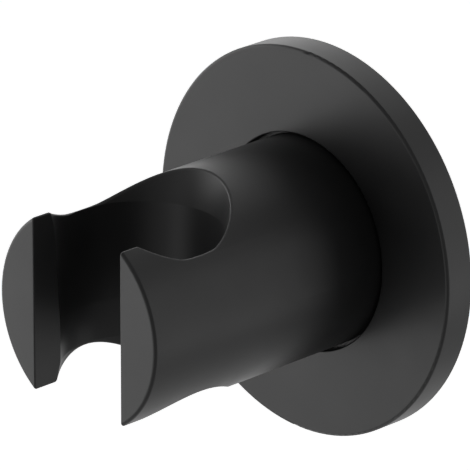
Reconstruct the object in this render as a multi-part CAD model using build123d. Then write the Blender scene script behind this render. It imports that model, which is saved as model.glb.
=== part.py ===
"""Wall-mounted hand shower holder: a thick round arm with a slotted, tapered cradle, on a concealed spigot.

All sizes are in millimetres. The wall is the plane y = 0, the arm points along -Y and +Z is up.
The origin is the middle of the wall plate's back face, so the arm's axis is the Y axis.
Lengths measured from the wall outwards are called depths: a depth of 10 is the plane y = -10.
"""

import os
from math import hypot, radians, sqrt, tan

from build123d import *

# Arm
ARM_DIAMETER = 32.5
ARM_REACH = 50.0
ARM_EDGE_RADIUS = 0.5

# Cradle: a tapered bore with a flare at each end, and the slot that lets the hose in
CRADLE_TOP_DIAMETER = 24.6
CRADLE_FRONT_MARGIN = 0.2
THROAT_DIAMETER = 23.4
THROAT_LENGTH = 6.0
FLARE_HALF_ANGLE = 10.0
FLARE_INSET = 0.25
RIM_RADIUS = 0.35
SLOT_WIDTH = 18.1
SLOT_EDGE_RADIUS = 0.2

# Rosette and the soft seal in its back
ROSETTE_DIAMETER = 60.0
ROSETTE_DEPTH = 5.0
ROSETTE_FACE_WALL = 1.7
ROSETTE_RIM_WALL = 2.6
ROSETTE_EDGE_RADIUS = 0.45
ROSETTE_HOLE_GAP = 0.5
ROSETTE_HOLE_EDGE_RADIUS = 0.2
ROSETTE_LEAD_IN = 0.3
SEAL_WIDTH = 1.2
SEAL_THICKNESS = 0.9
SEAL_GAP = 0.05

# Wall plate, its two wall screw holes, the O-ring in its rim and the nibs that key the spigot
PLATE_FACE_GAP = 0.3
PLATE_RIM_GAP = 0.6
WALL_HOLE_DIAMETER = 4.5
WALL_HOLE_HEAD_DIAMETER = 8.0
WALL_HOLE_COUNT = 2
WALL_HOLE_RIM_DISTANCE = 5.8
O_RING_SECTION = 1.75
O_RING_GAP = 0.05
GROOVE_SIDE_GAP = 0.15
NIB_DIAMETER = 2.0
NIB_HEIGHT = 1.0
NIB_PCD = 13.0
NIB_COUNT = 2
NIB_GAP = 0.05

# Spigot and the countersunk screw that holds it to the plate from behind
SPIGOT_DIAMETER = 20.0
SPIGOT_CHAMFER = 0.8
SPIGOT_END_GAP = 1.0
SOCKET_GAP = 0.05
SOCKET_END_WALL = 5.0
SOCKET_LEAD_IN = 0.5
V_GROOVE_DEPTH = 1.5
SCREW_DIAMETER = 4.0
SCREW_HEAD_DIAMETER = 8.0
SCREW_LENGTH = 11.0
SCREW_HEX = 2.5
SCREW_HEX_DEPTH = 1.4
SCREW_HEAD_INSET = 0.1
SCREW_HOLE_RUN_OUT = 2.0

# Grub screw in the arm's underside
GRUB_DIAMETER = 5.0
GRUB_INSET = 1.9
GRUB_HEX = 2.5
GRUB_HEX_DEPTH = 2.4
GRUB_HOLE_CHAMFER = 0.4

# Clearances of threads, shown plain, and of cones on their seats
THREAD_GAP = 0.05
CONE_GAP = 0.1

# How far a cutter runs past the face that it opens, and how near two sizes count as the same
OVERSHOOT = 2.0
SAME = 0.001

# Where along an edge its place is read, as shares of its length
SAMPLES = (0, 0.3, 1)

# Worked out from the sizes above
ARM_RADIUS = ARM_DIAMETER / 2
CRADLE_TOP_RADIUS = CRADLE_TOP_DIAMETER / 2
CRADLE_SETBACK = CRADLE_TOP_RADIUS + CRADLE_FRONT_MARGIN
CRADLE_DEPTH = ARM_REACH - CRADLE_SETBACK
THROAT_RADIUS = THROAT_DIAMETER / 2
FLARE_SLOPE = tan(radians(FLARE_HALF_ANGLE))
FLARE_START = sqrt(ARM_RADIUS**2 - CRADLE_TOP_RADIUS**2) - FLARE_INSET
MOUTH_RADIUS = CRADLE_TOP_RADIUS + (ARM_RADIUS - FLARE_START) * FLARE_SLOPE
ROSETTE_RADIUS = ROSETTE_DIAMETER / 2
ROSETTE_INNER_RADIUS = ROSETTE_RADIUS - ROSETTE_RIM_WALL
ROSETTE_INNER_DEPTH = ROSETTE_DEPTH - ROSETTE_FACE_WALL
SEAL_RADIUS = ROSETTE_RADIUS - ROSETTE_RIM_WALL / 2
PLATE_THICKNESS = ROSETTE_INNER_DEPTH - PLATE_FACE_GAP
PLATE_RADIUS = ROSETTE_INNER_RADIUS - PLATE_RIM_GAP
WALL_HOLE_RING_RADIUS = PLATE_RADIUS - WALL_HOLE_RIM_DISTANCE
O_RING_RADIUS = ROSETTE_INNER_RADIUS - O_RING_GAP - O_RING_SECTION / 2
SPIGOT_RADIUS = SPIGOT_DIAMETER / 2
SOCKET_RADIUS = SPIGOT_RADIUS + SOCKET_GAP
SOCKET_END = CRADLE_DEPTH - MOUTH_RADIUS - SOCKET_END_WALL
SPIGOT_END = SOCKET_END - SPIGOT_END_GAP
GRUB_DEPTH = (ROSETTE_DEPTH + SPIGOT_END) / 2


def turned(profile):
    """A closed profile of (radius, depth) points spun about the arm's axis."""
    face = make_face(Polyline(*[(radius, -depth) for radius, depth in profile], close=True))
    return revolve(face, Axis.Y)


def upright(profile):
    """A closed profile of (radius, height) points spun about the Z axis."""
    face = make_face(Polyline(*[(radius, 0, height) for radius, height in profile], close=True))
    return revolve(face, Axis.Z)


def rod(radius, start, end):
    """A round bar on the arm's axis between two depths."""
    return turned([(0, start), (radius, start), (radius, end), (0, end)])


def ring(inner_radius, outer_radius, start, end):
    """A square-edged ring about the arm's axis between two depths."""
    return turned([(inner_radius, start), (outer_radius, start), (outer_radius, end), (inner_radius, end)])


def countersink(head_radius, mouth, inwards):
    """A 90 degree cone on the arm's axis, widest at its mouth's depth and narrowing in the given direction."""
    return turned([
        (0, mouth - inwards * OVERSHOOT),
        (head_radius + OVERSHOOT, mouth - inwards * OVERSHOOT),
        (0, mouth + inwards * head_radius),
    ])


def hex_bar(across_flats, length):
    """A hexagonal bar that stands on the XY plane."""
    return extrude(RegularPolygon(across_flats / 2, 6, major_radius=False), length)


def facing_wall(shape, depth):
    """Turns a shape that stands on the XY plane so that it runs from a depth on outwards."""
    return Pos(0, -depth, 0) * Rot(90, 0, 0) * shape


def around_axis(shape, ring_radius, count):
    """Evenly spaced copies of a shape about the arm's axis, the first one at the top."""
    return [Rot(0, i * 360 / count, 0) * Pos(0, 0, ring_radius) * shape for i in range(count)]


def lies_on_side(edge):
    """True for an edge that runs on the arm's round surface."""
    return all(abs(hypot((edge @ t).X, (edge @ t).Z) - ARM_RADIUS) < SAME for t in SAMPLES)


def lies_between(edge, start, end):
    """True for an edge that stays between two depths."""
    return all(start - SAME < -(edge @ t).Y < end + SAME for t in SAMPLES)


def lies_on_slot(edge):
    """True for an edge of one of the slot's two flat walls."""
    return all(abs(abs((edge @ t).X) - SLOT_WIDTH / 2) < SAME for t in SAMPLES)


def cradle_cutter():
    """The upright bore: straight in the throat, tapered above it, and flared towards both mouths.

    It is turned so that the seam of its round walls falls in the hose slot, clear of the rims.
    """
    reach = ARM_RADIUS + OVERSHOOT
    flare = (reach - FLARE_START) * FLARE_SLOPE
    profile = [
        (0, -reach),
        (THROAT_RADIUS + flare, -reach),
        (THROAT_RADIUS, -FLARE_START),
        (THROAT_RADIUS, THROAT_LENGTH - FLARE_START),
        (CRADLE_TOP_RADIUS, FLARE_START),
        (CRADLE_TOP_RADIUS + flare, reach),
        (0, reach),
    ]
    return Pos(0, -CRADLE_DEPTH, 0) * Rot(0, 0, -90) * upright(profile)


def slot_cutter():
    """The hose slot, from the cradle's axis out through the front face."""
    length = CRADLE_SETBACK + OVERSHOOT
    height = ARM_DIAMETER + 2 * OVERSHOOT
    return Pos(0, -CRADLE_DEPTH - length / 2, 0) * Box(SLOT_WIDTH, length, height)


def bored_bar():
    """A bar longer than the arm with the cradle bored through it, so that both rims round off as whole loops."""
    bar = rod(ARM_RADIUS, PLATE_THICKNESS, CRADLE_DEPTH + 2 * ARM_DIAMETER) - cradle_cutter()
    rim_reach = 2 * MOUTH_RADIUS
    rims = [
        e for e in bar.edges()
        if lies_on_side(e) and lies_between(e, CRADLE_DEPTH - rim_reach, CRADLE_DEPTH + rim_reach)
    ]
    return fillet(rims, RIM_RADIUS)


def arm_with_cradle():
    """The bored bar cut to length and slotted, with rounded edges on its two prongs."""
    spare = 2 * ARM_DIAMETER
    offcut = Pos(0, -ARM_REACH - spare / 2, 0) * Box(spare, spare, spare)
    arm = bored_bar() - offcut - slot_cutter()
    front_arcs = [e for e in arm.edges() if lies_on_side(e) and lies_between(e, ARM_REACH, ARM_REACH)]
    arm = fillet(front_arcs, ARM_EDGE_RADIUS)
    slot_edges = [e for e in arm.edges() if lies_on_slot(e) and e.geom_type != GeomType.BSPLINE]
    return fillet(slot_edges, SLOT_EDGE_RADIUS)


def circles_at(shape, depth):
    """A turned piece's circular edges at a depth, the smallest first."""
    circles = shape.edges().filter_by(GeomType.CIRCLE)
    return circles.filter_by_position(Axis.Y, -depth - SAME, -depth + SAME).sort_by(SortBy.RADIUS)


def socket_cutter():
    """The blind socket for the spigot, with a lead-in at its mouth."""
    return turned([
        (0, PLATE_THICKNESS - OVERSHOOT),
        (SOCKET_RADIUS + SOCKET_LEAD_IN + OVERSHOOT, PLATE_THICKNESS - OVERSHOOT),
        (SOCKET_RADIUS, PLATE_THICKNESS + SOCKET_LEAD_IN),
        (SOCKET_RADIUS, SOCKET_END),
        (0, SOCKET_END),
    ])


def grub_hole_cutter():
    """The cross hole in the arm's underside, from below the arm into the socket, with a chamfered mouth."""
    radius = GRUB_DIAMETER / 2
    mouth_height = -ARM_RADIUS
    profile = [
        (0, mouth_height - OVERSHOOT),
        (radius + GRUB_HOLE_CHAMFER + OVERSHOOT, mouth_height - OVERSHOOT),
        (radius, mouth_height + GRUB_HOLE_CHAMFER),
        (radius, 0),
        (0, 0),
    ]
    return Pos(0, -GRUB_DEPTH, 0) * upright(profile)


def make_holder_arm():
    return arm_with_cradle() - socket_cutter() - grub_hole_cutter()


def make_rosette():
    """The hollow cover disc, with a lead-in for the plate's O-ring and a groove for the seal."""
    hole_radius = ARM_RADIUS + ROSETTE_HOLE_GAP
    shell = turned([
        (hole_radius, ROSETTE_INNER_DEPTH),
        (ROSETTE_INNER_RADIUS, ROSETTE_INNER_DEPTH),
        (ROSETTE_INNER_RADIUS, ROSETTE_LEAD_IN),
        (ROSETTE_INNER_RADIUS + ROSETTE_LEAD_IN, 0),
        (ROSETTE_RADIUS, 0),
        (ROSETTE_RADIUS, ROSETTE_DEPTH),
        (hole_radius, ROSETTE_DEPTH),
    ])
    half_width = SEAL_WIDTH / 2
    shell -= ring(SEAL_RADIUS - half_width, SEAL_RADIUS + half_width, -OVERSHOOT, SEAL_THICKNESS)
    shell = fillet(circles_at(shell, ROSETTE_DEPTH)[-1], ROSETTE_EDGE_RADIUS)
    return fillet(circles_at(shell, ROSETTE_DEPTH)[0], ROSETTE_HOLE_EDGE_RADIUS)


def make_rosette_seal():
    """The soft ring in the rosette's back, flush with the wall."""
    half_width = SEAL_WIDTH / 2 - SEAL_GAP
    return ring(SEAL_RADIUS - half_width, SEAL_RADIUS + half_width, 0, SEAL_THICKNESS - SEAL_GAP)


def make_wall_plate():
    """The disc on the wall, with a grooved rim, countersunk holes and pressed nibs."""
    plate = rod(PLATE_RADIUS, 0, PLATE_THICKNESS)
    groove_floor = O_RING_RADIUS - O_RING_SECTION / 2 - O_RING_GAP
    half_groove = O_RING_SECTION / 2 + GROOVE_SIDE_GAP
    middle = PLATE_THICKNESS / 2
    plate -= ring(groove_floor, PLATE_RADIUS + OVERSHOOT, middle - half_groove, middle + half_groove)
    wall_hole = rod(WALL_HOLE_DIAMETER / 2, -OVERSHOOT, PLATE_THICKNESS + OVERSHOOT)
    wall_hole += countersink(WALL_HOLE_HEAD_DIAMETER / 2, PLATE_THICKNESS, -1)
    plate -= around_axis(wall_hole, WALL_HOLE_RING_RADIUS, WALL_HOLE_COUNT)
    plate -= rod(SCREW_DIAMETER / 2 + THREAD_GAP, -OVERSHOOT, PLATE_THICKNESS + OVERSHOOT)
    plate -= countersink(SCREW_HEAD_DIAMETER / 2, 0, 1)
    nib = rod(NIB_DIAMETER / 2, PLATE_THICKNESS - NIB_HEIGHT, PLATE_THICKNESS + NIB_HEIGHT)
    dimple = rod(NIB_DIAMETER / 2, -OVERSHOOT, NIB_HEIGHT)
    plate += around_axis(nib, NIB_PCD / 2, NIB_COUNT)
    return plate - around_axis(dimple, NIB_PCD / 2, NIB_COUNT)


def make_plate_o_ring():
    """The O-ring that grips the inside of the rosette's rim."""
    section = Pos(O_RING_RADIUS, -PLATE_THICKNESS / 2) * Circle(O_RING_SECTION / 2)
    return revolve(section, Axis.Y)


def make_spigot():
    """The post that the arm slides over, with a V-groove for the grub screw and holes for the nibs."""
    groove_floor = SPIGOT_RADIUS - V_GROOVE_DEPTH
    spigot = turned([
        (0, PLATE_THICKNESS),
        (SPIGOT_RADIUS, PLATE_THICKNESS),
        (SPIGOT_RADIUS, GRUB_DEPTH - V_GROOVE_DEPTH),
        (groove_floor, GRUB_DEPTH),
        (SPIGOT_RADIUS, GRUB_DEPTH + V_GROOVE_DEPTH),
        (SPIGOT_RADIUS, SPIGOT_END - SPIGOT_CHAMFER),
        (SPIGOT_RADIUS - SPIGOT_CHAMFER, SPIGOT_END),
        (0, SPIGOT_END),
    ])
    spigot -= rod(SCREW_DIAMETER / 2 + THREAD_GAP, PLATE_THICKNESS - OVERSHOOT, SCREW_LENGTH + SCREW_HOLE_RUN_OUT)
    nib_hole = rod(NIB_DIAMETER / 2 + NIB_GAP, PLATE_THICKNESS - OVERSHOOT, PLATE_THICKNESS + NIB_HEIGHT + NIB_GAP)
    return spigot - around_axis(nib_hole, NIB_PCD / 2, NIB_COUNT)


def make_spigot_screw():
    """The countersunk screw, driven from the wall side, its head just below the plate's back."""
    shank_radius = SCREW_DIAMETER / 2
    cone_radius = SCREW_HEAD_DIAMETER / 2 - CONE_GAP
    screw = turned([
        (0, SCREW_HEAD_INSET),
        (cone_radius - SCREW_HEAD_INSET, SCREW_HEAD_INSET),
        (shank_radius, cone_radius - shank_radius),
        (shank_radius, SCREW_LENGTH),
        (0, SCREW_LENGTH),
    ])
    return screw - facing_wall(hex_bar(SCREW_HEX, SCREW_HEX_DEPTH), SCREW_HEAD_INSET)


def make_grub_screw():
    """The cone-point screw, pointing up into the spigot's V-groove."""
    radius = GRUB_DIAMETER / 2 - THREAD_GAP
    tip = -(SPIGOT_RADIUS - V_GROOVE_DEPTH + CONE_GAP)
    foot = -(ARM_RADIUS - GRUB_INSET)
    screw = upright([(0, tip), (radius, tip - radius), (radius, foot), (0, foot)])
    screw -= Pos(0, 0, foot) * hex_bar(GRUB_HEX, GRUB_HEX_DEPTH)
    return Pos(0, -GRUB_DEPTH, 0) * screw


PARTS = {
    "holder_arm": make_holder_arm,
    "rosette": make_rosette,
    "rosette_seal": make_rosette_seal,
    "wall_plate": make_wall_plate,
    "plate_o_ring": make_plate_o_ring,
    "spigot": make_spigot,
    "spigot_screw": make_spigot_screw,
    "arm_grub_screw": make_grub_screw,
}

if __name__ == "__main__":
    os.makedirs("parts", exist_ok=True)
    for name, make in PARTS.items():
        export_step(make(), f"parts/{name}.step")
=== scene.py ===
"""Hand shower holder: matt black powder coat, steel, brass and rubber parts, cut threads and a studio stage.

Lengths are in metres. The wall is the plane y = 0, the arm points along -Y and +Z is up.
"""

from math import ceil, cos, radians, sin

import bpy
from bpy.props import FloatProperty, FloatVectorProperty, PointerProperty
from mathutils import Matrix, Vector


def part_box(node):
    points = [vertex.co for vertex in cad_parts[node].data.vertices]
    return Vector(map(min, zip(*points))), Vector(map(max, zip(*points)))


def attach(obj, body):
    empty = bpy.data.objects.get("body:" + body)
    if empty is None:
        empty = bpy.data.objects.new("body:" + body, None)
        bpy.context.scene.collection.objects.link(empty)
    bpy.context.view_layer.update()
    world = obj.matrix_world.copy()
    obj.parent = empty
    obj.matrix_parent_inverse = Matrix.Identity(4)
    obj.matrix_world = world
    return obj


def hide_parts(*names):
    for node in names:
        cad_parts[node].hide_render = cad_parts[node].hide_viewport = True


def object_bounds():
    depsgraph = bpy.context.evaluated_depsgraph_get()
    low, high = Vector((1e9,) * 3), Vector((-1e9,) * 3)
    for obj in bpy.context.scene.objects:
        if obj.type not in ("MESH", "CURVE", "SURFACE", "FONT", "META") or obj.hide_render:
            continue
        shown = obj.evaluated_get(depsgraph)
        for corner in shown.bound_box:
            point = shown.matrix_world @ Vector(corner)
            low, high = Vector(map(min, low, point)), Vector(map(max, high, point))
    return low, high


bl_info = {
    "name": "Hand Shower Holder",
    "version": (1, 0, 0),
    "blender": (4, 5, 0),
    "location": "View3D > Sidebar > Shower Holder",
    "description": "Finishes a wall-mounted hand shower holder and sets up its studio stage",
    "category": "Object",
}

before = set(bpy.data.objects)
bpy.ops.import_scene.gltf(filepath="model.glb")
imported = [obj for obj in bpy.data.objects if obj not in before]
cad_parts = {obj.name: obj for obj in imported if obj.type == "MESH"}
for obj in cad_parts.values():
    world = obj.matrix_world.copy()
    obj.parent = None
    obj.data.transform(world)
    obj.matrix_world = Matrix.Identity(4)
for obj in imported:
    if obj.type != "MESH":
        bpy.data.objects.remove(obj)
CAD_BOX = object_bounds()

BODY = "root"
MM = 0.001

MATT_BLACK_NODES = ("holder_arm", "rosette")
RUBBER_NODES = ("rosette_seal", "plate_o_ring")

# Sides of a round bar and of a screw's envelope, and steps in one turn of a thread
ROUND_SIDES = 64
ENVELOPE_SIDES = 40
RIDGE_STEPS = 48

# A thread's ridge as it is wound, and the thread's depth, as shares of its pitch
RIDGE_HEIGHT = 0.745
THREAD_DEPTH = 0.613

# A screw's envelope, the flat on its cone's tip and the lower end of its countersunk head, as shares of the
# thread's radius, and the bevel at its ends
ENVELOPE_GROWTH = 1.02
CONE_TIP = 0.02
HEAD_NECK = 0.97
END_BEVEL = 0.4 * MM

# The drilled cone at the bottom of a hexagon socket: its tip and depth, as shares of the corner radius
DRILL_TIP = 0.2
DRILL_DEPTH = 0.45

MERGE_DISTANCE = 0.002 * MM
SMOOTH_ANGLE = radians(30)

# Widths of the finishes' grain, and of the powder coat's cloudiness
CLOUD_WIDTH = 6.0 * MM
PLATE_GRAIN = 0.15 * MM
SCREW_GRAIN = 0.2 * MM
BRASS_GRAIN = 0.12 * MM
RUBBER_GRAIN = 0.2 * MM
FLOOR_GRAIN = 2.0 * MM

# Depths of grain in the coat, in the finishes that the coat hides, and in the floor
COAT_GRAIN_DEPTH = 0.002 * MM
HIDDEN_GRAIN_DEPTH = 0.004 * MM
FLOOR_GRAIN_DEPTH = 0.01 * MM

# Stretch of the grain along the axes: none, brushed along X, and turned about Y
EVEN = (1.0, 1.0, 1.0)
BRUSHED = (0.05, 1.0, 1.0)
TURNED = (0.05, 1.0, 0.05)

# Part of a noise mask that is spread over a range, since noise seldom leaves its middle
MASK_MIDDLE = (0.3, 0.7)

# How much a mask lightens a colour, as a share of it, or darkens it where the share is negative
COAT_TINT = 0.12
METAL_TINT = -0.12
RUBBER_TINT = 0.3
FLOOR_TINT = 0.02

# Roughness as a range, or as a middle value, and how far it strays to each side of its middle
PLATE_ROUGHNESS = (0.50, 0.62)
RUBBER_ROUGHNESS = (0.65, 0.8)
SCREW_ROUGHNESS = 0.5
BRASS_ROUGHNESS = 0.28
FLOOR_ROUGHNESS = 0.9
COAT_STRAY = 0.02
METAL_STRAY = 0.06

WHITE = (1.0, 1.0, 1.0, 1.0)

IMAGE_WIDTH_PX = 470
SENSOR_WIDTH_MM = 36.0
CAMERA_REACH = 100.0
LAMP_AIM = (0.0, -0.02, 0.0)

# Softboxes round the holder: azimuth and elevation in degrees as seen from the holder, azimuth 0 in front of
# the arm and 90 to its right, then side and distance in metres and power in watts
SOFTBOXES = {
    "front_left_softbox": (-60.0, 0.0, 0.9, 0.8, 7.0),
    "low_front_softbox": (-12.0, -20.0, 0.4, 0.8, 1.3),
    "back_right_softbox": (150.0, 0.0, 0.9, 0.8, 3.8),
    "back_left_softbox": (-150.0, 30.0, 0.9, 0.8, 2.6),
}


class HolderFinish(bpy.types.PropertyGroup):
    """Colours and surface sizes of the holder's finishes."""

    coat_colour: FloatVectorProperty(
        name="Coat colour",
        description="Colour of the matt black powder coat",
        subtype="COLOR",
        size=4,
        min=0.0,
        max=1.0,
        default=(0.0120, 0.0120, 0.0122, 1.0),
    )
    coat_roughness: FloatProperty(
        name="Coat roughness",
        description="How widely the powder coat spreads a reflection",
        subtype="FACTOR",
        min=0.0,
        max=1.0,
        default=0.40,
    )
    coat_sheen: FloatProperty(
        name="Coat sheen",
        description="How strongly the powder coat reflects, as a specular level",
        subtype="FACTOR",
        min=0.0,
        max=1.0,
        default=0.175,
    )
    coat_grain: FloatProperty(
        name="Coat grain",
        description="Width of one grain of the powder coat",
        unit="LENGTH",
        default=0.12 * MM,
    )
    steel_colour: FloatVectorProperty(
        name="Steel colour",
        description="Colour of the wall plate's stainless steel",
        subtype="COLOR",
        size=4,
        min=0.0,
        max=1.0,
        default=(0.56, 0.56, 0.57, 1.0),
    )
    # Painted shade: the black disc on the wall plate's face round the arm's seat stands for the shade in the
    # gap between the arm and the rosette, in place of bare steel.
    seat_shade_radius: FloatProperty(
        name="Seat paint radius",
        description="Radius of the black paint on the wall plate's face, round the arm's seat",
        unit="LENGTH",
        default=18.5 * MM,
    )
    # Where the painted shade on the wall plate begins, counted from the wall, just short of the plate's face.
    seat_shade_depth: FloatProperty(
        name="Seat paint depth",
        description="Distance from the wall beyond which the wall plate is painted, just short of its face",
        unit="LENGTH",
        default=2.8 * MM,
    )
    screw_colour: FloatVectorProperty(
        name="Screw colour",
        description="Colour of the two screws",
        subtype="COLOR",
        size=4,
        min=0.0,
        max=1.0,
        default=(0.45, 0.45, 0.46, 1.0),
    )
    brass_colour: FloatVectorProperty(
        name="Brass colour",
        description="Colour of the turned brass spigot",
        subtype="COLOR",
        size=4,
        min=0.0,
        max=1.0,
        default=(0.74, 0.56, 0.28, 1.0),
    )
    rubber_colour: FloatVectorProperty(
        name="Rubber colour",
        description="Colour of the seal and the O-ring",
        subtype="COLOR",
        size=4,
        min=0.0,
        max=1.0,
        default=(0.020, 0.020, 0.020, 1.0),
    )


class HolderThreads(bpy.types.PropertyGroup):
    """Sizes of the metric threads and of the screws' hexagon sockets."""

    grub_pitch: FloatProperty(
        name="Grub screw pitch",
        description="Distance between turns of the grub screw's M5 thread",
        unit="LENGTH",
        default=0.8 * MM,
    )
    spigot_screw_pitch: FloatProperty(
        name="Spigot screw pitch",
        description="Distance between turns of the spigot screw's M4 thread",
        unit="LENGTH",
        default=0.7 * MM,
    )
    spigot_screw_diameter: FloatProperty(
        name="Spigot screw diameter",
        description="Outer diameter of the spigot screw's thread",
        unit="LENGTH",
        default=4.0 * MM,
    )
    hexagon: FloatProperty(
        name="Hexagon socket",
        description="Width across the flats of both screws' sockets",
        unit="LENGTH",
        default=2.5 * MM,
    )
    grub_socket_depth: FloatProperty(
        name="Grub screw socket depth",
        description="Depth of the grub screw's hexagon socket",
        unit="LENGTH",
        default=2.4 * MM,
    )
    spigot_socket_depth: FloatProperty(
        name="Spigot screw socket depth",
        description="Depth of the spigot screw's hexagon socket",
        unit="LENGTH",
        default=1.4 * MM,
    )


class HolderStage(bpy.types.PropertyGroup):
    """Camera, floor and light of the stage."""

    camera_azimuth: FloatProperty(
        name="Camera azimuth",
        description="Angle from straight in front of the arm round to its right",
        subtype="ANGLE",
        default=radians(45.665),
    )
    camera_elevation: FloatProperty(
        name="Camera elevation",
        description="Angle above the horizontal",
        subtype="ANGLE",
        default=radians(21.549),
    )
    camera_roll: FloatProperty(
        name="Camera roll",
        description="Turn of the camera about its own line of sight",
        subtype="ANGLE",
        default=radians(0.238),
    )
    camera_distance: FloatProperty(
        name="Camera distance",
        description="Distance from the middle of the wall plate's back, along the line of sight",
        unit="LENGTH",
        default=0.78693,
    )
    camera_focal_px: FloatProperty(
        name="Focal length in pixels",
        description="The lens's focal length, as pixels of the picture",
        default=5299.8,
    )
    aim_left: FloatProperty(
        name="Aim left",
        description="How far the line of sight passes to the left of the middle of the wall plate's back",
        unit="LENGTH",
        default=13.268 * MM,
    )
    aim_down: FloatProperty(
        name="Aim down",
        description="How far the line of sight passes below the middle of the wall plate's back",
        unit="LENGTH",
        default=0.266 * MM,
    )
    floor_drop: FloatProperty(
        name="Floor drop",
        description="How far the floor lies below the holder's lowest point",
        unit="LENGTH",
        default=0.6,
    )
    floor_side: FloatProperty(
        name="Floor side",
        description="Side of the square floor",
        unit="LENGTH",
        default=12.0,
    )
    floor_glow: FloatProperty(
        name="Floor glow",
        description="Brightness that the floor adds to its own for the camera",
        default=0.88,
    )
    floor_colour: FloatVectorProperty(
        name="Floor colour",
        description="Colour of the floor",
        subtype="COLOR",
        size=4,
        min=0.0,
        max=1.0,
        default=(0.8, 0.8, 0.8, 1.0),
    )
    world_strength: FloatProperty(
        name="World strength",
        description="Brightness of the plain light from all round",
        default=0.12,
    )


def turned_blank(name, rings, sides=ROUND_SIDES):
    """A bar along Z, pulled out ring by ring from a disc, each ring given as (radius, height)."""
    radius, height = rings[0]
    bpy.ops.mesh.primitive_circle_add(
        vertices=sides,
        radius=radius,
        fill_type="NGON",
        location=(0.0, 0.0, height),
    )
    blank = bpy.context.object
    blank.name = name
    bpy.ops.object.mode_set(mode="EDIT")
    for next_radius, next_height in rings[1:]:
        step = (0.0, 0.0, next_height - height)
        bpy.ops.mesh.extrude_region_move(TRANSFORM_OT_translate={"value": step})
        growth = next_radius / radius
        bpy.ops.transform.resize(value=(growth, growth, 1.0), center_override=(0.0, 0.0, next_height))
        radius, height = next_radius, next_height
    bpy.ops.mesh.select_all(action="SELECT")
    bpy.ops.mesh.normals_make_consistent(inside=False)
    bpy.ops.object.mode_set(mode="OBJECT")
    bpy.ops.object.transform_apply(location=True, rotation=True, scale=True)
    return blank


def thread_ridge(name, edge_radius, pitch, bottom, top):
    """The ridge of a thread wound about Z between two heights, its edge at a radius.

    Its section is an equal-sided triangle, whose corners lie two thirds of its height from its middle.
    """
    reach = RIDGE_HEIGHT * pitch * 2 / 3
    bpy.ops.mesh.primitive_circle_add(
        vertices=3,
        radius=reach,
        location=(edge_radius - reach, 0.0, bottom),
        rotation=(radians(90), radians(90), 0.0),
    )
    ridge = bpy.context.object
    ridge.name = name
    bpy.ops.object.transform_apply(location=True, rotation=True, scale=True)
    winding = ridge.modifiers.new("winding", "SCREW")
    winding.screw_offset = pitch
    winding.iterations = ceil((top - bottom) / pitch)
    winding.steps = RIDGE_STEPS
    winding.render_steps = RIDGE_STEPS
    bpy.ops.object.modifier_apply(modifier="winding")
    bpy.ops.object.mode_set(mode="EDIT")
    bpy.ops.mesh.select_all(action="SELECT")
    bpy.ops.mesh.fill_holes(sides=0)
    bpy.ops.mesh.select_all(action="SELECT")
    bpy.ops.mesh.normals_make_consistent(inside=False)
    bpy.ops.object.mode_set(mode="OBJECT")
    return ridge


def combine(piece, tool, operation):
    """Joins a tool to a piece, cuts it out, or keeps what both share; the tool goes."""
    bpy.ops.object.select_all(action="DESELECT")
    piece.select_set(True)
    bpy.context.view_layer.objects.active = piece
    boolean = piece.modifiers.new("boolean", "BOOLEAN")
    boolean.operation = operation
    boolean.solver = "EXACT"
    boolean.object = tool
    bpy.ops.object.modifier_apply(modifier="boolean")
    bpy.data.objects.remove(tool)


def cut_socket(screw, mouth, depth):
    """Cuts a hexagon socket with a drilled cone at its bottom, from a height upwards."""
    threads = bpy.context.scene.holder_threads
    corner = threads.hexagon / 2 / cos(radians(30))
    bottom = mouth + depth
    rings = [(corner, mouth - depth), (corner, bottom), (corner * DRILL_TIP, bottom + corner * DRILL_DEPTH)]
    combine(screw, turned_blank("socket_cutter", rings, sides=6), "DIFFERENCE")


def threaded_screw(name, envelope, edge_radius, pitch, bottom, top):
    """A screw along Z: its envelope, given as rings, with a thread cut between two heights."""
    root_radius = edge_radius - THREAD_DEPTH * pitch
    core = turned_blank(name, [(root_radius, bottom - pitch), (root_radius, top + pitch)])
    combine(core, thread_ridge("ridge", edge_radius, pitch, bottom - pitch, top + pitch), "UNION")
    combine(core, turned_blank("envelope", envelope, sides=ENVELOPE_SIDES), "INTERSECT")
    return core


def put(piece, turn, place):
    """Closes a piece's seams, turns and moves it, and leaves its object at the origin."""
    bpy.ops.object.select_all(action="DESELECT")
    piece.select_set(True)
    bpy.context.view_layer.objects.active = piece
    bpy.ops.object.mode_set(mode="EDIT")
    bpy.ops.mesh.select_all(action="SELECT")
    bpy.ops.mesh.remove_doubles(threshold=MERGE_DISTANCE)
    bpy.ops.mesh.normals_make_consistent(inside=False)
    bpy.ops.object.mode_set(mode="OBJECT")
    piece.rotation_euler = turn
    piece.location = place
    bpy.ops.object.transform_apply(location=True, rotation=True, scale=True)
    bpy.ops.object.shade_smooth_by_angle(angle=SMOOTH_ANGLE)


def hand_over(piece, material):
    """Gives a new piece its material and slot, and lets it ride on the holder."""
    piece.data.materials.clear()
    piece.data.materials.append(material)
    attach(piece, BODY)


def add_material(name):
    """A new material with its Principled BSDF."""
    material = bpy.data.materials.new(name)
    material.use_nodes = True
    return material, material.node_tree.nodes["Principled BSDF"]


def new_group(name, inputs, outputs):
    """A shader node group with named sockets, each given as (name, socket type, default or None)."""
    group = bpy.data.node_groups.new(name, "ShaderNodeTree")
    for in_out, sockets in (("INPUT", inputs), ("OUTPUT", outputs)):
        for socket_name, kind, default in sockets:
            socket = group.interface.new_socket(name=socket_name, in_out=in_out, socket_type=kind)
            if default is not None:
                socket.default_value = default
    group.nodes.new("NodeGroupInput")
    group.nodes.new("NodeGroupOutput")
    return group


def use_group(tree, group, **values):
    """Places a node group in a material, with its values by socket name, underscores for spaces."""
    node = tree.nodes.new("ShaderNodeGroup")
    node.node_tree = group
    for name, value in values.items():
        node.inputs[name.replace("_", " ").capitalize()].default_value = value
    return node


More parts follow.
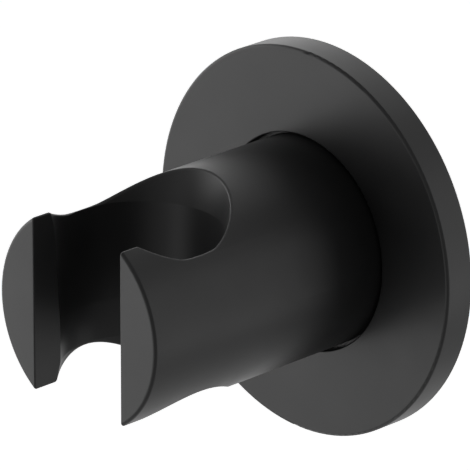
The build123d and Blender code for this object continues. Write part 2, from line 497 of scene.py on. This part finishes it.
def feed(tree, socket, value):
    """Sets a socket to a value, or links it where the value is another node's output."""
    if isinstance(value, bpy.types.NodeSocket):
        tree.links.new(value, socket)
    else:
        socket.default_value = value


def calculated(tree, operation, first, second):
    """The result of a Math node, each side a number or an output."""
    node = tree.nodes.new("ShaderNodeMath")
    node.operation = operation
    feed(tree, node.inputs[0], first)
    feed(tree, node.inputs[1], second)
    return node.outputs[0]


def mixed_colours(tree, mask, first, second):
    """The first colour where a mask is zero and the second where it is one, each a colour or an output."""
    mix = tree.nodes.new("ShaderNodeMix")
    mix.data_type = "RGBA"
    feed(tree, mix.inputs["Factor"], mask)
    feed(tree, mix.inputs["A"], first)
    feed(tree, mix.inputs["B"], second)
    return mix.outputs["Result"]


def grain_group():
    """Fine noise over a surface: a height in metres and a mask, from grains of one width."""
    if "surface_grain" in bpy.data.node_groups:
        return bpy.data.node_groups["surface_grain"]
    group = new_group(
        "surface_grain",
        [
            ("Vector", "NodeSocketVector", None),
            ("Width", "NodeSocketFloat", MM),
            ("Depth", "NodeSocketFloat", 0.01 * MM),
        ],
        [("Height", "NodeSocketFloat", None), ("Mask", "NodeSocketFloat", None)],
    )
    start, end = group.nodes["Group Input"], group.nodes["Group Output"]
    grains_per_metre = calculated(group, "DIVIDE", 1.0, start.outputs["Width"])
    noise = group.nodes.new("ShaderNodeTexNoise")
    noise.inputs["Detail"].default_value = 3.0
    noise.inputs["Roughness"].default_value = 0.5
    group.links.new(start.outputs["Vector"], noise.inputs["Vector"])
    group.links.new(grains_per_metre, noise.inputs["Scale"])
    mask = noise.outputs["Fac"]
    group.links.new(calculated(group, "MULTIPLY", mask, start.outputs["Depth"]), end.inputs["Height"])
    group.links.new(mask, end.inputs["Mask"])
    return group


def object_coordinates(tree, scale=EVEN):
    """A piece's own coordinates, stretched along its axes."""
    coordinates = tree.nodes.new("ShaderNodeTexCoord")
    mapping = tree.nodes.new("ShaderNodeMapping")
    mapping.inputs["Scale"].default_value = scale
    tree.links.new(coordinates.outputs["Object"], mapping.inputs["Vector"])
    return mapping.outputs["Vector"]


def grained(tree, shader, width, depth, scale=EVEN):
    """Bumps a shader with grain and returns the grain's mask."""
    grain = use_group(tree, grain_group(), width=width, depth=depth)
    tree.links.new(object_coordinates(tree, scale), grain.inputs["Vector"])
    bump = tree.nodes.new("ShaderNodeBump")
    bump.inputs["Distance"].default_value = 1.0
    tree.links.new(grain.outputs["Height"], bump.inputs["Height"])
    tree.links.new(bump.outputs["Normal"], shader.inputs["Normal"])
    return grain.outputs["Mask"]


def spread(tree, mask, low, high):
    """Maps the middle of a noise mask to a range of values."""
    stretch = tree.nodes.new("ShaderNodeMapRange")
    stretch.inputs["From Min"].default_value, stretch.inputs["From Max"].default_value = MASK_MIDDLE
    stretch.inputs["To Min"].default_value = low
    stretch.inputs["To Max"].default_value = high
    tree.links.new(mask, stretch.inputs["Value"])
    return stretch.outputs["Result"]


def tinted(tree, mask, colour, lift):
    """A colour that lightens with a mask by a share of itself, or darkens where the share is negative."""
    lifted = [min(1.0, channel * (1.0 + lift)) for channel in colour[:3]] + [1.0]
    return mixed_colours(tree, mask, colour, lifted)


def powder_coat():
    """Matt black powder coat: near-black, soft sheen, fine grain and a faint cloudiness."""
    finish = bpy.context.scene.holder_finish
    material, shader = add_material("matt_black_powder_coat")
    tree = material.node_tree
    shader.inputs["Specular IOR Level"].default_value = finish.coat_sheen
    grained(tree, shader, finish.coat_grain, COAT_GRAIN_DEPTH)
    cloud = use_group(tree, grain_group(), width=CLOUD_WIDTH)
    tree.links.new(object_coordinates(tree), cloud.inputs["Vector"])
    mask = cloud.outputs["Mask"]
    tree.links.new(tinted(tree, mask, finish.coat_colour, COAT_TINT), shader.inputs["Base Color"])
    roughness = spread(tree, mask, finish.coat_roughness - COAT_STRAY, finish.coat_roughness + COAT_STRAY)
    tree.links.new(roughness, shader.inputs["Roughness"])
    return material


def metal(name, colour, roughness, width, scale):
    """Bare metal with tool marks: grain stretched along the piece's axes."""
    material, shader = add_material(name)
    tree = material.node_tree
    shader.inputs["Metallic"].default_value = 1.0
    mask = grained(tree, shader, width, HIDDEN_GRAIN_DEPTH, scale)
    tree.links.new(tinted(tree, mask, colour, METAL_TINT), shader.inputs["Base Color"])
    low, high = roughness - METAL_STRAY, roughness + METAL_STRAY
    tree.links.new(spread(tree, mask, low, high), shader.inputs["Roughness"])
    return material


def seat_shade_mask():
    """A mask for a disc of painted shade: one inside a radius of the Y axis and in front of a depth, else
    zero.
    """
    if "seat_shade_mask" in bpy.data.node_groups:
        return bpy.data.node_groups["seat_shade_mask"]
    group = new_group(
        "seat_shade_mask",
        [
            ("Vector", "NodeSocketVector", None),
            ("Radius", "NodeSocketFloat", 10.0 * MM),
            ("Depth", "NodeSocketFloat", 0.0),
        ],
        [("Mask", "NodeSocketFloat", None)],
    )
    start, end = group.nodes["Group Input"], group.nodes["Group Output"]
    flat = group.nodes.new("ShaderNodeVectorMath")
    flat.operation = "MULTIPLY"
    flat.inputs[1].default_value = (1.0, 0.0, 1.0)
    group.links.new(start.outputs["Vector"], flat.inputs[0])
    away = group.nodes.new("ShaderNodeVectorMath")
    away.operation = "LENGTH"
    group.links.new(flat.outputs["Vector"], away.inputs[0])
    axes = group.nodes.new("ShaderNodeSeparateXYZ")
    group.links.new(start.outputs["Vector"], axes.inputs[0])
    inside = calculated(group, "LESS_THAN", away.outputs["Value"], start.outputs["Radius"])
    in_front = calculated(group, "LESS_THAN", axes.outputs["Y"], start.outputs["Depth"])
    group.links.new(calculated(group, "MULTIPLY", inside, in_front), end.inputs["Mask"])
    return group


def plate_steel():
    """Brushed steel, with a black disc of painted shade round the arm's seat, so that none glints through the
    rosette's gap.
    """
    finish = bpy.context.scene.holder_finish
    material, shader = add_material("brushed_steel_plate")
    tree = material.node_tree
    mask = grained(tree, shader, PLATE_GRAIN, HIDDEN_GRAIN_DEPTH, BRUSHED)
    tree.links.new(spread(tree, mask, *PLATE_ROUGHNESS), shader.inputs["Roughness"])
    # Painted shade: the coat's black laid on the steel round the arm's seat, where the gap round the arm lies
    # in shade.
    ring = use_group(tree, seat_shade_mask(), radius=finish.seat_shade_radius, depth=-finish.seat_shade_depth)
    tree.links.new(object_coordinates(tree), ring.inputs["Vector"])
    painted = ring.outputs["Mask"]
    steel = tinted(tree, mask, finish.steel_colour, METAL_TINT)
    tree.links.new(mixed_colours(tree, painted, steel, finish.coat_colour), shader.inputs["Base Color"])
    tree.links.new(calculated(tree, "SUBTRACT", 1.0, painted), shader.inputs["Metallic"])
    return material


def spigot_brass():
    """Turned brass."""
    colour = bpy.context.scene.holder_finish.brass_colour
    return metal("turned_brass", colour, BRASS_ROUGHNESS, BRASS_GRAIN, TURNED)


def screw_steel():
    """Plain steel, made once for both screws."""
    name = "plain_screw_steel"
    colour = bpy.context.scene.holder_finish.screw_colour
    return bpy.data.materials.get(name) or metal(name, colour, SCREW_ROUGHNESS, SCREW_GRAIN, EVEN)


def rubber():
    """Soft black rubber."""
    finish = bpy.context.scene.holder_finish
    material, shader = add_material("black_rubber")
    tree = material.node_tree
    mask = grained(tree, shader, RUBBER_GRAIN, HIDDEN_GRAIN_DEPTH)
    tree.links.new(tinted(tree, mask, finish.rubber_colour, RUBBER_TINT), shader.inputs["Base Color"])
    tree.links.new(spread(tree, mask, *RUBBER_ROUGHNESS), shader.inputs["Roughness"])
    return material


def coat(node, material):
    """Gives a CAD node a material in place of its plain one."""
    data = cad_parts[node].data
    data.materials.clear()
    data.materials.append(material)


class HOLDER_OT_powder_coat(bpy.types.Operator):
    """Coat the arm and the rosette in matt black"""

    bl_idname = "holder.powder_coat"
    bl_label = "Powder Coat"

    def execute(self, context):
        material = powder_coat()
        for node in MATT_BLACK_NODES:
            coat(node, material)
        return {"FINISHED"}


class HOLDER_OT_hidden_finishes(bpy.types.Operator):
    """Finish the wall plate, the spigot and the seals"""

    bl_idname = "holder.hidden_finishes"
    bl_label = "Steel, Brass and Rubber"

    def execute(self, context):
        coat("wall_plate", plate_steel())
        coat("spigot", spigot_brass())
        material = rubber()
        for node in RUBBER_NODES:
            coat(node, material)
        return {"FINISHED"}


class HOLDER_OT_grub_screw(bpy.types.Operator):
    """Put the threaded grub screw in the arm's underside"""

    bl_idname = "holder.grub_screw"
    bl_label = "Grub Screw"

    def execute(self, context):
        threads = context.scene.holder_threads
        low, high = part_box("arm_grub_screw")
        edge = (high[0] - low[0]) / 2
        foot, tip = low[2], high[2]
        around = edge * ENVELOPE_GROWTH
        envelope = [
            (around - END_BEVEL, foot),
            (around, foot + END_BEVEL),
            (around, tip - around),
            (around * CONE_TIP, tip),
        ]
        screw = threaded_screw("grub_screw", envelope, edge, threads.grub_pitch, foot, tip)
        cut_socket(screw, foot, threads.grub_socket_depth)
        put(screw, (0.0, 0.0, 0.0), ((low[0] + high[0]) / 2, (low[1] + high[1]) / 2, 0.0))
        hand_over(screw, screw_steel())
        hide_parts("arm_grub_screw")
        return {"FINISHED"}


class HOLDER_OT_spigot_screw(bpy.types.Operator):
    """Put the threaded countersunk screw through the wall plate into the spigot"""

    bl_idname = "holder.spigot_screw"
    bl_label = "Spigot Screw"

    def execute(self, context):
        threads = context.scene.holder_threads
        low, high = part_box("spigot_screw")
        head = (high[0] - low[0]) / 2
        face, tip = -high[1], -low[1]
        edge = threads.spigot_screw_diameter / 2
        neck = face + head - edge
        around = edge * ENVELOPE_GROWTH
        envelope = [(around, (face + neck) / 2), (around, tip - END_BEVEL), (around - END_BEVEL, tip)]
        screw = threaded_screw("countersunk_screw", envelope, edge, threads.spigot_screw_pitch, face, tip)
        combine(screw, turned_blank("screw_head", [(head, face), (edge * HEAD_NECK, neck)]), "UNION")
        cut_socket(screw, face, threads.spigot_socket_depth)
        put(screw, (radians(90), 0.0, 0.0), ((low[0] + high[0]) / 2, 0.0, (low[2] + high[2]) / 2))
        hand_over(screw, screw_steel())
        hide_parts("spigot_screw")
        return {"FINISHED"}


def direction(azimuth, elevation):
    """The unit vector towards an azimuth, from in front of the arm round to its right, and an elevation."""
    return Vector((sin(azimuth) * cos(elevation), -cos(azimuth) * cos(elevation), sin(elevation)))


def add_camera():
    """The camera at the picture's viewing angle, without shift."""
    stage = bpy.context.scene.holder_stage
    back = direction(stage.camera_azimuth, stage.camera_elevation)
    level_right = Vector((cos(stage.camera_azimuth), sin(stage.camera_azimuth), 0.0))
    turn = Matrix.Rotation(stage.camera_roll, 3, back)
    right = turn @ level_right
    up = turn @ back.cross(level_right)
    place = back * stage.camera_distance - right * stage.aim_left - up * stage.aim_down
    bpy.ops.object.camera_add()
    camera = bpy.context.object
    camera.name = "picture_camera"
    camera.matrix_world = Matrix.Translation(place) @ Matrix((right, up, back)).transposed().to_4x4()
    camera.data.sensor_width = SENSOR_WIDTH_MM
    camera.data.lens = stage.camera_focal_px / IMAGE_WIDTH_PX * SENSOR_WIDTH_MM
    camera.data.clip_end = CAMERA_REACH
    bpy.context.scene.camera = camera


def add_softbox(name, azimuth, elevation, side, distance, power):
    """A square area lamp that faces the holder."""
    towards = direction(radians(azimuth), radians(elevation))
    bpy.ops.object.light_add(type="AREA")
    lamp = bpy.context.object
    lamp.name = name
    lamp.data.name = name
    lamp.data.size = side
    lamp.data.energy = power
    place = Vector(LAMP_AIM) + towards * distance
    facing = towards.to_track_quat("Z", "Y").to_matrix().to_4x4()
    lamp.matrix_world = Matrix.Translation(place) @ facing


def ray_test(tree, *kinds):
    """One where a ray of one of these kinds meets the surface, else zero."""
    path = tree.nodes.new("ShaderNodeLightPath")
    seen = path.outputs[kinds[0]]
    for kind in kinds[1:]:
        seen = calculated(tree, "MAXIMUM", seen, path.outputs[kind])
    return seen


def mixed_shaders(tree, mask, usual, other):
    """One shader where a mask is zero, and another where it is one."""
    mix = tree.nodes.new("ShaderNodeMixShader")
    tree.links.new(mask, mix.inputs["Fac"])
    tree.links.new(usual.outputs[0], mix.inputs[1])
    tree.links.new(other.outputs[0], mix.inputs[2])
    return mix


def add_world():
    """Plain pale light from all round, white behind the holder."""
    stage = bpy.context.scene.holder_stage
    world = bpy.data.worlds.new("studio")
    bpy.context.scene.world = world
    world.use_nodes = True
    tree = world.node_tree
    light = tree.nodes["Background"]
    light.inputs["Color"].default_value = WHITE
    light.inputs["Strength"].default_value = stage.world_strength
    white = tree.nodes.new("ShaderNodeBackground")
    white.inputs["Color"].default_value = WHITE
    seen = ray_test(tree, "Is Camera Ray", "Is Glossy Ray", "Is Transmission Ray")
    both = mixed_shaders(tree, seen, light, white)
    tree.links.new(both.outputs[0], tree.nodes["World Output"].inputs["Surface"])


def floor_material():
    """Pale floor that keeps the holder's shadow, is white where nothing shades it, and clear from below."""
    stage = bpy.context.scene.holder_stage
    material, shader = add_material("pale_floor")
    tree = material.node_tree
    shader.inputs["Roughness"].default_value = FLOOR_ROUGHNESS
    mask = grained(tree, shader, FLOOR_GRAIN, FLOOR_GRAIN_DEPTH)
    tree.links.new(tinted(tree, mask, stage.floor_colour, FLOOR_TINT), shader.inputs["Base Color"])
    glow = tree.nodes.new("ShaderNodeEmission")
    glow.inputs["Strength"].default_value = stage.floor_glow
    lift = tree.nodes.new("ShaderNodeAddShader")
    tree.links.new(shader.outputs[0], lift.inputs[0])
    tree.links.new(glow.outputs[0], lift.inputs[1])
    white = tree.nodes.new("ShaderNodeEmission")
    clear = tree.nodes.new("ShaderNodeBsdfTransparent")
    side = tree.nodes.new("ShaderNodeNewGeometry")
    seen = mixed_shaders(tree, ray_test(tree, "Is Camera Ray"), shader, lift)
    mirrored = mixed_shaders(tree, ray_test(tree, "Is Glossy Ray", "Is Transmission Ray"), seen, white)
    one_sided = mixed_shaders(tree, side.outputs["Backfacing"], mirrored, clear)
    tree.links.new(one_sided.outputs[0], tree.nodes["Material Output"].inputs["Surface"])
    return material


def add_floor():
    """A plain floor below the holder."""
    stage = bpy.context.scene.holder_stage
    lowest = CAD_BOX[0][2] - stage.floor_drop
    bpy.ops.mesh.primitive_plane_add(size=stage.floor_side, location=(0.0, 0.0, lowest))
    floor = bpy.context.object
    floor.name = "stage_floor"
    bpy.ops.object.transform_apply(location=True, rotation=True, scale=True)
    floor.data.materials.append(floor_material())


class HOLDER_OT_stage(bpy.types.Operator):
    """Add the camera, the floor and the soft light"""

    bl_idname = "holder.stage"
    bl_label = "Studio Stage"

    def execute(self, context):
        context.scene.view_settings.view_transform = "Standard"
        add_camera()
        add_floor()
        add_world()
        for name, values in SOFTBOXES.items():
            add_softbox(name, *values)
        return {"FINISHED"}


class HOLDER_PT_panel(bpy.types.Panel):
    """Sidebar panel with the holder's pieces and values"""

    bl_idname = "HOLDER_PT_panel"
    bl_label = "Hand Shower Holder"
    bl_space_type = "VIEW_3D"
    bl_region_type = "UI"
    bl_category = "Shower Holder"

    def draw(self, context):
        for operator in OPERATORS:
            self.layout.operator(operator.bl_idname)
        scene = context.scene
        for group in (scene.holder_finish, scene.holder_threads, scene.holder_stage):
            column = self.layout.column(align=True)
            for name in group.__annotations__:
                column.prop(group, name)


OPERATORS = (
    HOLDER_OT_powder_coat,
    HOLDER_OT_hidden_finishes,
    HOLDER_OT_grub_screw,
    HOLDER_OT_spigot_screw,
    HOLDER_OT_stage,
)
CLASSES = (HolderFinish, HolderThreads, HolderStage, *OPERATORS, HOLDER_PT_panel)


def register():
    for cls in CLASSES:
        bpy.utils.register_class(cls)
    bpy.types.Scene.holder_finish = PointerProperty(type=HolderFinish)
    bpy.types.Scene.holder_threads = PointerProperty(type=HolderThreads)
    bpy.types.Scene.holder_stage = PointerProperty(type=HolderStage)


def unregister():
    del bpy.types.Scene.holder_stage
    del bpy.types.Scene.holder_threads
    del bpy.types.Scene.holder_finish
    for cls in reversed(CLASSES):
        bpy.utils.unregister_class(cls)


def main():
    register()
    bpy.ops.object.select_all(action="DESELECT")
    bpy.ops.holder.powder_coat()
    bpy.ops.holder.hidden_finishes()
    bpy.ops.holder.grub_screw()
    bpy.ops.holder.spigot_screw()
    bpy.ops.holder.stage()


if __name__ == "__main__":
    main()
